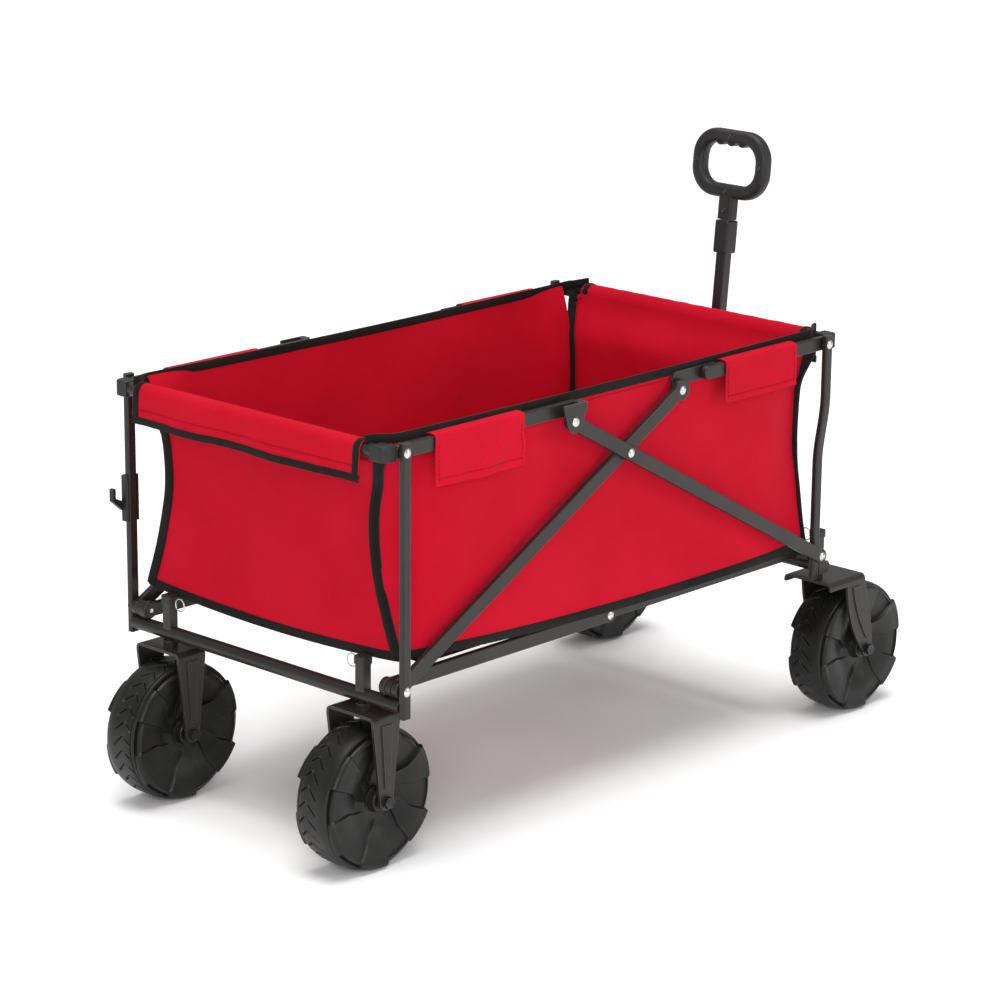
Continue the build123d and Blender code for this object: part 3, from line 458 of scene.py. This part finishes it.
def woven(name, dark, light, thread, sheen):
    """Woven cloth: two crossing sets of threads as a bump, and soft patches of colour."""
    finish, nodes, links, shader = new_finish(name, light, 0.72)
    mottle(nodes, links, shader, dark, light, 6.5, 6.0)
    shader.inputs["Sheen Weight"].default_value = sheen
    shader.inputs["Sheen Roughness"].default_value = 0.45
    shader.inputs["Specular IOR Level"].default_value = 0.05
    place = nodes.new("ShaderNodeTexCoord")
    parts = nodes.new("ShaderNodeSeparateXYZ")
    links.new(place.outputs["Object"], parts.inputs["Vector"])
    across = nodes.new("ShaderNodeMath")
    across.operation = "ADD"
    links.new(parts.outputs["X"], across.inputs[0])
    links.new(parts.outputs["Y"], across.inputs[1])
    waves = []
    for source in (across.outputs["Value"], parts.outputs["Z"]):
        scaled = nodes.new("ShaderNodeMath")
        scaled.operation = "MULTIPLY"
        scaled.inputs[1].default_value = 2 * math.pi / thread
        links.new(source, scaled.inputs[0])
        wave = nodes.new("ShaderNodeMath")
        wave.operation = "SINE"
        links.new(scaled.outputs["Value"], wave.inputs[0])
        waves.append(wave)
    crossed = nodes.new("ShaderNodeMath")
    crossed.operation = "MULTIPLY"
    links.new(waves[0].outputs["Value"], crossed.inputs[0])
    links.new(waves[1].outputs["Value"], crossed.inputs[1])
    threads = nodes.new("ShaderNodeBump")
    threads.inputs["Strength"].default_value = 0.35
    threads.inputs["Distance"].default_value = 0.0003
    links.new(crossed.outputs["Value"], threads.inputs["Height"])
    creases = nodes.new("ShaderNodeTexNoise")
    creases.inputs["Scale"].default_value = 9.0
    creases.inputs["Detail"].default_value = 3.0
    creases.inputs["Distortion"].default_value = 0.8
    links.new(place.outputs["Object"], creases.inputs["Vector"])
    folds = nodes.new("ShaderNodeBump")
    folds.inputs["Strength"].default_value = 0.5
    folds.inputs["Distance"].default_value = 0.006
    links.new(creases.outputs["Fac"], folds.inputs["Height"])
    links.new(threads.outputs["Normal"], folds.inputs["Normal"])
    links.new(folds.outputs["Normal"], shader.inputs["Normal"])
    return finish


red_cloth = woven("red_polyester", (0.44, 0.0035, 0.016), (0.51, 0.005, 0.021), THREAD, 0.01)
black_tape = woven("black_binding_tape", (0.008, 0.0075, 0.007), (0.015, 0.014, 0.013), 0.0016, 0.05)
red_thread = woven("red_thread", (0.20, 0.002, 0.008), (0.28, 0.004, 0.011), 0.0006, 0.05)


def cloth_panel(name, place, columns, rows, finish, thickness=CLOTH):
    """A thin closed sheet around the surface place(u, v), with its cut width, length and area."""
    grid = [[place(c / columns, r / rows) for c in range(columns + 1)] for r in range(rows + 1)]
    middle = [[None] * (columns + 1) for _ in range(rows + 1)]
    for r in range(rows + 1):
        for c in range(columns + 1):
            along = grid[r][min(c + 1, columns)] - grid[r][max(c - 1, 0)]
            up = grid[min(r + 1, rows)][c] - grid[max(r - 1, 0)][c]
            middle[r][c] = along.cross(up).normalized()
    wide = columns + 1
    corners = []
    for face in (0.5, -0.5):
        for r in range(rows + 1):
            corners += [grid[r][c] + face * thickness * middle[r][c] for c in range(wide)]
    back = wide * (rows + 1)
    faces = []
    for r in range(rows):
        for c in range(columns):
            a = r * wide + c
            faces.append((a, a + 1, a + 1 + wide, a + wide))
            faces.append((back + a, back + a + wide, back + a + 1 + wide, back + a + 1))
    rim = [c for c in range(wide)]
    rim += [r * wide + columns for r in range(1, rows + 1)]
    rim += [rows * wide + c for c in range(columns - 1, -1, -1)]
    rim += [r * wide for r in range(rows - 1, 0, -1)]
    for one, two in zip(rim, rim[1:] + rim[:1]):
        faces.append((one, back + one, back + two, two))
    width = sum((grid[rows // 2][c + 1] - grid[rows // 2][c]).length for c in range(columns))
    length = sum((grid[r + 1][columns // 2] - grid[r][columns // 2]).length for r in range(rows))
    area = 0.0
    for r in range(rows):
        for c in range(columns):
            one = grid[r + 1][c + 1] - grid[r][c]
            two = grid[r + 1][c] - grid[r][c + 1]
            area += one.cross(two).length / 2
    return mesh_piece(name, corners, faces, finish, 60), (width, length, min(area, width * length))


def tape(name, path, across, width, thickness, finish):
    """A flat band along a path. across gives the direction of its width at each point."""
    ring = 10
    corners = []
    for step, point in enumerate(path):
        ahead = path[min(step + 1, len(path) - 1)] - path[max(step - 1, 0)]
        wide = across[step].normalized()
        out = ahead.cross(wide).normalized()
        wide = out.cross(ahead).normalized()
        for turn in range(ring):
            angle = 2 * math.pi * (turn + 0.5) / ring
            flat = math.copysign(abs(math.cos(angle)) ** 0.45, math.cos(angle))
            deep = math.copysign(abs(math.sin(angle)) ** 0.45, math.sin(angle))
            corners.append(point + wide * flat * width / 2 + out * deep * thickness / 2)
    faces = []
    for step in range(len(path) - 1):
        for turn in range(ring):
            beside = (turn + 1) % ring
            one = step * ring
            faces.append((one + turn, one + beside, one + ring + beside, one + ring + turn))
    faces.append(tuple(range(ring)))
    last = (len(path) - 1) * ring
    faces.append(tuple(last + turn for turn in reversed(range(ring))))
    return mesh_piece(name, corners, faces, finish, 50)


def stitches(name, path, out, finish, length=0.0044, gap=0.0020, thread=0.0008):
    """A row of sewn stitches along a path, each a short raised bead of thread that follows it."""
    runs = [(two - one).length for one, two in zip(path, path[1:])]

    def spot(distance):
        step = 0
        while step < len(runs) - 1 and distance > runs[step]:
            distance -= runs[step]
            step += 1
        return path[step].lerp(path[step + 1], min(distance / max(runs[step], 1e-9), 1.0)), out[step]

    corners = []
    faces = []
    travelled = gap
    while travelled + length < sum(runs):
        first = len(corners)
        start, lift = spot(travelled)
        ahead = (spot(travelled + length)[0] - start).normalized()
        beside = ahead.cross(lift).normalized()
        lift = beside.cross(ahead)
        for share, size in ((0, 0.35), (0.25, 1), (0.75, 1), (1, 0.35)):
            centre, _ = spot(travelled + share * length)
            for turn in range(6):
                angle = math.pi * turn / 3
                round_it = math.cos(angle) * beside + 0.7 * math.sin(angle) * lift
                corners.append(centre + size * thread * round_it)
        for ring in range(3):
            for turn in range(6):
                one = first + ring * 6 + turn
                two = first + ring * 6 + (turn + 1) % 6
                faces.append((one, two, two + 6, one + 6))
        faces.append(tuple(first + turn for turn in range(6)))
        faces.append(tuple(first + 18 + turn for turn in reversed(range(6))))
        travelled += length + gap
    return mesh_piece(name, corners, faces, finish, 60)


def middle_of(node):
    """The middle of a CAD node's box."""
    low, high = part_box(node)
    return (low + high) / 2


rear_x = middle_of("rear_post_right").x
front_x = middle_of("front_post_right").x
side_low, side_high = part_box("tub_sides")
tub_side = side_high.y - 0.002
tub_top = side_high.z + 0.002
tub_low = side_low.z
rear_cloth_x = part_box("tub_end_rear")[0].x + 0.002
front_cloth_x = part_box("tub_end_front")[1].x - 0.002
middle_x = (rear_x + front_x) / 2
rail_low, rail_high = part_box("rear_rail_right")


def fold_up(piece):
    """Put a piece of the long sides on the rear frame, with a mesh of its own."""
    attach(piece, "rear_frame")
    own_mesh(piece)


def corner_pull(v, size):
    """How far a corner seam is drawn inward at height share v, from the bottom to the rim."""
    return size * math.sin(math.pi * min(max(v, 0.0), 1.0) ** 1.3) ** 0.8


def bottom_edge(u):
    """Height of a side panel's lower edge, which rises toward the rear corner."""
    return tub_low - 0.007 + 0.0285 * (1 - u) ** 3 + 0.007 * u ** 8


# The two long side panels: one piece of cloth each, from the rear corner seam to the front one.
# The cloth is stretched along the rails and hangs between its corners, with soft folds near both ends.
# Its lower edge sags between the floor's seams and is bound in black tape.
SIDE_COLUMNS = 110
SIDE_ROWS = 36
REAR_PULL = 0.042
FRONT_PULL = 0.024
PULL_REACH = 0.062
RIM_SAG = 0.003
LEFT_RIM_DROP = 0.005


def side_surface(side, u, v):
    """A point of a side panel: u from rear to front, v from its lower edge to the rim."""
    along = rear_cloth_x + u * (front_cloth_x - rear_cloth_x)
    rim = tub_top - RIM_SAG * math.sin(math.pi * u) - (LEFT_RIM_DROP if side > 0 else 0.0)
    height = bottom_edge(u) + v * (rim - bottom_edge(u))
    span = front_cloth_x - rear_cloth_x
    rear_near = math.exp(-((u * span / PULL_REACH) ** 2))
    front_near = math.exp(-(((1 - u) * span / PULL_REACH) ** 2))
    pull = corner_pull(v, REAR_PULL) * rear_near + corner_pull(v, FRONT_PULL) * front_near
    ends = math.exp(-u * span / 0.16) + math.exp(-(1 - u) * span / 0.16)
    free = math.sin(math.pi * v)
    wave = noise.noise(Vector((along * 9, side * 3.7, height * 3.5)))
    crease = noise.noise(Vector((along * 26 + height * 14, side * 1.3, height * 9)))
    folds = free * (0.0045 * (wave - 0.25) + 0.0022 * crease * (0.35 + ends))
    belly = -0.004 * free * math.sin(math.pi * u)
    return Vector((along, side * (tub_side - pull + min(folds, 0.001) + belly), height))


rim_end_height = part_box("front_elbows")[1].z + 0.0030
for hand, side in (("left", 1), ("right", -1)):
    panel, cut = cloth_panel(
        f"tub_side_{hand}",
        lambda u, v: side_surface(side, u, v),
        SIDE_COLUMNS,
        SIDE_ROWS,
        red_cloth,
    )
    steps = 90
    outward = Vector((0, side, 0))
    upright = Vector((0, 0, 1))
    top_path = [
        side_surface(side, 0.004 + 0.992 * k / steps, 1.0) - 0.004 * upright for k in range(steps + 1)
    ]
    low_path = [side_surface(side, k / steps, 0.0) + 0.004 * upright for k in range(steps + 1)]
    for end, corner, step in (("rear", top_path[0], -1), ("front", top_path[-1], 1)):
        over = Vector((middle_of(f"{end}_top_tube").x + step * 0.006, side * 0.2250, rim_end_height))
        reach = [corner.lerp(over, smooth_step(k / 8, 0.0, 1.0)) for k in range(1, 9)]
        for k, point in enumerate(reach, 1):
            point.x = corner.x + (over.x - corner.x) * k / 8
        top_path = [*reversed(reach), *top_path] if step < 0 else [*top_path, *reach]
    up = [upright] * len(top_path)
    rim_tape = tape(f"rim_binding_{hand}", top_path, up, TAPE_WIDTH, FULL_TAPE_THICK, black_tape)
    hem_tape = tape(f"lower_binding_{hand}", low_path, up, TAPE_WIDTH, TAPE_THICK, black_tape)
    seam_path = [
        side_surface(side, 0.01 + 0.98 * k / steps, 0.965) - 0.004 * upright + 0.0009 * outward
        for k in range(steps + 1)
    ]
    rim_seam = stitches(f"rim_stitching_{hand}", seam_path, [outward] * (steps + 1), red_thread)
    fold_up(panel)
    for piece in (rim_tape, hem_tape, rim_seam):
        fold_up(piece)
    if side == 1:
        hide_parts("tub_sides")


# The two end panels: cloth between the corner seams, hung from the sleeves of the end tubes.
# Their side edges are drawn inward between the posts, and black tape binds the corner seams and lower edges.
# The rear one stays with the rear posts and the front one with the front posts.
END_COLUMNS = 60
END_ROWS = 34
CORNER_TAPE = 0.016
CORNER_THICK = 0.0080
SLEEVE_ROUND = 0.0122
SLEEVE_WRAP = 1.2
SLEEVE_HALF = 0.2215


def end_surface(x, inward, size, tube, u, v):
    """A point of an end panel: u from right to left, v from its lower edge up over the tube's inside."""
    low = bottom_edge(0.0 if inward > 0 else 1.0) - 0.011 * math.sin(math.pi * u) ** 0.8
    over = SLEEVE_ROUND + 0.0012
    straight = tube.z - low
    travel = v * (straight + SLEEVE_WRAP * over)
    share = min(travel / straight, 1.0)
    half = tub_side - corner_pull(share, size)
    half += (SLEEVE_HALF - half) * smooth_step(travel, straight - 0.012, straight - 0.001)
    y = -half + 2 * half * u
    if travel > straight:
        angle = (travel - straight) / over
        return Vector((tube.x + inward * over * math.cos(angle), y, tube.z + over * math.sin(angle)))
    height = low + travel
    free = math.sin(math.pi * share) * math.sin(math.pi * u)
    wave = noise.noise(Vector((x * 5, y * 8, height * 4)))
    crease = noise.noise(Vector((x * 3, y * 24, height * 10 + y * 6)))
    hung = x + inward * free * (0.007 + 0.006 * wave + 0.002 * crease)
    top = smooth_step(travel, straight - 0.07, straight)
    return Vector((hung + (tube.x + inward * over - hung) * top, y, height))


END_PANELS = (
    ("rear", rear_cloth_x, 1, REAR_PULL, "rear_frame", "tub_end_rear"),
    ("front", front_cloth_x, -1, FRONT_PULL, "front_frame", "tub_end_front"),
)
for end, x, inward, size, body, node in END_PANELS:
    tube = middle_of(f"{end}_top_tube")
    panel, cut = cloth_panel(
        f"tub_{end}_panel",
        lambda u, v: end_surface(x, inward, size, tube, u, v),
        END_COLUMNS,
        END_ROWS,
        red_cloth,
    )
    steps = 50
    upright = Vector((0, 0, 1))
    low_path = [
        end_surface(x, inward, size, tube, k / steps, 0.0) + 0.004 * upright for k in range(steps + 1)
    ]
    up = [upright] * (steps + 1)
    trims = [tape(f"{end}_lower_binding", low_path, up, TAPE_WIDTH, TAPE_THICK, black_tape)]
    for hand, side, u in (("left", 1, 1.0), ("right", -1, 0.0)):
        seam = [end_surface(x, inward, size, tube, u, 0.93 * k / steps) for k in range(steps + 1)]
        inboard = [
            point + Vector((0, -side * (0.004 + 0.002 * noise.noise(Vector((x, side, point.z * 16)))), 0))
            for point in seam
        ]
        across = [Vector((0, side, 0))] * (steps + 1)
        trims.append(
            tape(f"{end}_corner_binding_{hand}", inboard, across, CORNER_TAPE, CORNER_THICK, black_tape)
        )
        inside = [point + Vector((inward * 0.002, -side * 0.014, 0)) for point in seam]
        facing = [Vector((-inward, 0, 0))] * (steps + 1)
        trims.append(stitches(f"{end}_corner_stitching_{hand}", inside, facing, red_thread))
    for piece in (panel, *trims):
        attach(piece, body)
    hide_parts(node)


# The sleeves over the two end tubes: the end panel's cloth goes up, over the tube and down outside it.
# The hanging edge and both ends are bound in black tape, with a row of stitches above the lower binding.
# A whole sleeve turns with the top rails of its end.
SLEEVE_COLUMNS = 70
SLEEVE_ROWS = 40
SLEEVE_FOOT = 0.5465
SLEEVE_TUCK = 0.020
HEM_TAPE = 0.0105
SLEEVE_END_TAPE = 0.012
SLEEVE_END_THICK = 0.0038
steps = 60


def sleeve_surface(tube, outward, u, v):
    """A point of a sleeve: u along the tube, v from the tucked inner edge over it to the hanging edge."""
    y = -SLEEVE_HALF + 2 * SLEEVE_HALF * u
    arc = math.pi * SLEEVE_ROUND
    drop = tube.z - SLEEVE_FOOT
    travel = v * (SLEEVE_TUCK + arc + drop)
    sway = noise.noise(Vector((y * 11, outward * 2.0, 0.5)))
    pucker = 0.0006 * noise.noise(Vector((y * 60, v * 9, outward)))
    if travel < SLEEVE_TUCK:
        out, rise = -SLEEVE_ROUND + 0.001 * (1 - travel / SLEEVE_TUCK), travel - SLEEVE_TUCK
    elif travel < SLEEVE_TUCK + arc:
        angle = (travel - SLEEVE_TUCK) / SLEEVE_ROUND
        out, rise = -SLEEVE_ROUND * math.cos(angle), SLEEVE_ROUND * math.sin(angle)
    else:
        hang = travel - SLEEVE_TUCK - arc
        share = hang / drop
        out, rise = SLEEVE_ROUND + 0.0034 * share * (1 + 1.3 * sway), -hang * (1 + 0.04 * sway)
    return Vector((tube.x + outward * (out + pucker), y, tube.z + rise + pucker))


for end, outward, body, rails, node in (
    ("rear", -1, "rear_frame", "rear_top_rails", "rear_rim_covers"),
    ("front", 1, "front_frame", "front_top_rails", "front_rim_covers"),
):
    tube = middle_of(f"{end}_top_tube")
    over, cut = cloth_panel(
        f"{end}_sleeve",
        lambda u, v: sleeve_surface(tube, outward, u, v),
        SLEEVE_COLUMNS,
        SLEEVE_ROWS,
        red_cloth,
    )
    upright = Vector((0, 0, 1))
    away = Vector((outward, 0, 0))
    hem = [sleeve_surface(tube, outward, k / steps, 0.97) for k in range(steps + 1)]
    up = [upright] * (steps + 1)
    trims = [tape(f"{end}_sleeve_binding", hem, up, HEM_TAPE, FULL_TAPE_THICK, black_tape)]
    row = [
        sleeve_surface(tube, outward, 0.01 + 0.98 * k / steps, 0.81) + 0.0012 * away for k in range(steps + 1)
    ]
    trims.append(stitches(f"{end}_sleeve_stitching", row, [away] * (steps + 1), red_thread))
    for hand, u in (("left", 0.985), ("right", 0.015)):
        edge = [sleeve_surface(tube, outward, u, 0.10 + 0.88 * k / steps) for k in range(steps + 1)]
        along = [Vector((0, 1, 0))] * (steps + 1)
        trims.append(
            tape(f"{end}_sleeve_end_{hand}", edge, along, SLEEVE_END_TAPE, SLEEVE_END_THICK, black_tape)
        )
    for piece in (over, *trims):
        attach(piece, rails)
    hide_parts(node)


# The four rail flaps: short pieces of the tub's cloth that wrap out over the top rails and carry the sides.
# Each is sewn to the rim under its binding, with a stitched hem along its hanging edge.
# They turn with the rails that they hang on.
FLAP_COLUMNS = 44
FLAP_ROWS = 30
FLAPS = (
    ("rear", rear_x + 0.060, 0.170, 0.0055, 0.068),
    ("front", front_x - 0.228, 0.160, 0.0026, 0.058),
)
rail_top = rail_high.z
rail_inside = abs(rail_high.y)
rail_outside = abs(rail_low.y)


def flap_surface(side, start, length, ruffle, drop, u, v):
    """A point of a rail flap: u along the rail, v from the rim, over the rail, to the hanging hem."""
    turn_round = 0.004
    inner = rail_inside - 0.0045
    outer = rail_outside + 0.0022
    top = rail_top + 0.0016
    bridge = outer - inner - turn_round
    total = bridge + turn_round * math.pi / 2 + drop
    travel = v * total
    along = start + length * u
    if travel < bridge:
        y, z = inner + travel, top + 0.0008 * math.sin(math.pi * travel / bridge)
    elif travel < bridge + turn_round * math.pi / 2:
        angle = (travel - bridge) / turn_round
        y, z = outer - turn_round + turn_round * math.sin(angle), top - turn_round * (1 - math.cos(angle))
    else:
        hang = travel - bridge - turn_round * math.pi / 2
        share = hang / drop
        wrinkle = noise.noise(Vector((along * 26 + hang * 30, side * 2.0, hang * 9)))
        y = outer + ruffle * share * max(0.0, wrinkle + 0.25)
        z = top - turn_round - hang * (1 - 22 * ruffle * abs(u - 0.5) ** 2)
        along += 0.0015 * share * math.sin(14 * hang / drop * u) * ruffle / 0.0055
    return Vector((along, side * y, z))


for end, start, length, ruffle, drop in FLAPS:
    for hand, side in (("left", 1), ("right", -1)):
        flap, cut = cloth_panel(
            f"{end}_rail_flap_{hand}",
            lambda u, v: flap_surface(side, start, length, ruffle, drop, u, v),
            FLAP_COLUMNS,
            FLAP_ROWS,
            red_cloth,
        )
        outward = Vector((0, side, 0))
        hem = [
            flap_surface(side, start, length, ruffle, drop, 0.02 + 0.96 * k / steps, 0.88) + 0.0010 * outward
            for k in range(steps + 1)
        ]
        hem_row = stitches(f"{end}_flap_hem_{hand}", hem, [outward] * (steps + 1), red_thread)
        trims = [hem_row]
        for name, u in (("near", 0.035), ("far", 0.965)):
            edge = [
                flap_surface(side, start, length, ruffle, drop, u, 0.32 + 0.64 * k / steps) + 0.0010 * outward
                for k in range(steps + 1)
            ]
            trims.append(stitches(f"{end}_flap_{name}_row_{hand}", edge, [outward] * (steps + 1), red_thread))
        for piece in (flap, *trims):
            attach(piece, f"{end}_top_rails")


# The floor: two halves of the same cloth laid on the floor rails, each with a stiff board sewn in under it.
# The boards' edges show through the cloth, with a row of stitches around each one.
# Each half lifts with its own floor rails when the frame closes.
FLOOR_COLUMNS = 60
FLOOR_ROWS = 60
FLOOR_HALF_WIDTH = 0.240
HINGE_GAP = 0.0015


def floor_surface(x_from, x_to, board_low, board_high, u, v):
    """A point of half of the floor: raised a little over its board."""
    along = x_from + u * (x_to - x_from)
    y = -FLOOR_HALF_WIDTH + 2 * FLOOR_HALF_WIDTH * v
    over_x = smooth_step(along, board_low.x - 0.006, board_low.x + 0.006)
    over_x *= 1 - smooth_step(along, board_high.x - 0.006, board_high.x + 0.006)
    over_y = 1 - smooth_step(abs(y), board_high.y - 0.010, board_high.y + 0.004)
    sag = 0.0010 * noise.noise(Vector((along * 12, y * 12, 0.3)))
    height = board_high.z + 0.0012 + 0.0016 * over_x * over_y + sag
    whole = min(max((along - rear_cloth_x) / (front_cloth_x - rear_cloth_x), 0.0), 1.0)
    side_seam = bottom_edge(whole) + 0.005
    height += (side_seam - height) * smooth_step(abs(y), FLOOR_HALF_WIDTH - 0.090, FLOOR_HALF_WIDTH)
    near_rear = 1 - smooth_step(along - rear_cloth_x, -0.010, 0.110)
    near_front = 1 - smooth_step(front_cloth_x - along, -0.010, 0.110)
    bow = 0.011 * math.sin(math.pi * v) ** 0.8
    height += (bottom_edge(0.0) + 0.006 - bow - height) * near_rear
    height += (bottom_edge(1.0) + 0.006 - bow - height) * near_front
    return Vector((along, y, height))


for end, x_from, x_to, node in (
    ("rear", rear_cloth_x + 0.004, middle_x - HINGE_GAP, "floor_board_rear"),
    ("front", middle_x + HINGE_GAP, front_cloth_x - 0.004, "floor_board_front"),
):
    low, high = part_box(node)
    half_floor, cut = cloth_panel(
        f"{end}_floor_cloth", lambda u, v: floor_surface(x_from, x_to, low, high, u, v),
        FLOOR_COLUMNS, FLOOR_ROWS, red_cloth,
    )
    pocket, pocket_cut = cloth_panel(
        f"{end}_board_pocket",
        lambda u, v: Vector(
            (
                low.x + u * (high.x - low.x),
                low.y + v * (high.y - low.y),
                low.z + 0.0008 + 0.004 * (max(abs(2 * u - 1), abs(2 * v - 1)) ** 14),
            )
        ),
        40, 40, black_tape,
    )
    upright = Vector((0, 0, 1))
    inset = 0.010
    around = [
        Vector((low.x - inset, low.y - 0.004, 0)), Vector((high.x + inset, low.y - 0.004, 0)),
        Vector((high.x + inset, high.y + 0.004, 0)), Vector((low.x - inset, high.y + 0.004, 0)),
        Vector((low.x - inset, low.y - 0.004, 0)),
    ]
    row = []
    for one, two in zip(around, around[1:]):
        for k in range(30):
            spot = one.lerp(two, k / 30)
            spot.z = high.z + 0.0026
            row.append(spot)
    seam = stitches(f"{end}_board_stitching", row, [upright] * len(row), red_thread)
    for piece in (half_floor, pocket, seam):
        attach(piece, f"{end}_floor")
    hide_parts(node)


# The screws of the grip: five cross-recessed steel screws sunk in the back of the moulding.
# They hold its two shells together and clamp its neck on the upper tube.
# Each screw has a rounded head in a shallow ring.
pivot = middle_of("handle_pivot_bolt")
HANDLE_LEAN = math.radians(5.5)
GRIP_BACK = -0.0113
SCREW_RADIUS = 0.0036
SCREW_PLACES = ((0.0, 0.6015), (0.061, 0.560), (-0.061, 0.560), (0.0, 0.5185), (0.0, 0.489))
handle_place = Matrix.Translation(pivot) @ Matrix.Rotation(HANDLE_LEAN, 4, "Y")


def screw(name, y, rise, back, finish):
    """A domed screw head with a cross recess, facing the rear."""
    rings = ((0.0, 0.0011), (0.35, 0.0011), (0.62, 0.0010), (0.85, 0.0006), (1.0, 0.0), (1.0, -0.001))
    sides = 32
    corners = []
    for share, lift in rings:
        for turn in range(sides):
            angle = 2 * math.pi * turn / sides
            radius = SCREW_RADIUS * max(share, 0.02)
            in_cross = abs(math.sin(2 * angle)) < 0.45 and 0.0 <= share < 0.7
            sunk = 0.0013 if in_cross or share == 0.0 else 0.0
            corners.append(
                Vector((back - lift + sunk, y + radius * math.cos(angle), rise + radius * math.sin(angle)))
            )
    faces = [tuple(range(sides))]
    for ring in range(len(rings) - 1):
        for turn in range(sides):
            one = ring * sides + turn
            two = ring * sides + (turn + 1) % sides
            faces.append((one, two, two + sides, one + sides))
    faces.append(tuple((len(rings) - 1) * sides + turn for turn in range(sides)))
    made = mesh_piece(name, [handle_place @ corner for corner in corners], faces, finish, 40)
    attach(made, "handle_top")


for number, (y, rise) in enumerate(SCREW_PLACES, 1):
    screw(f"grip_screw_{number}", y, rise, GRIP_BACK + (0.0008 if rise < 0.5 else 0.0), black_oxide)
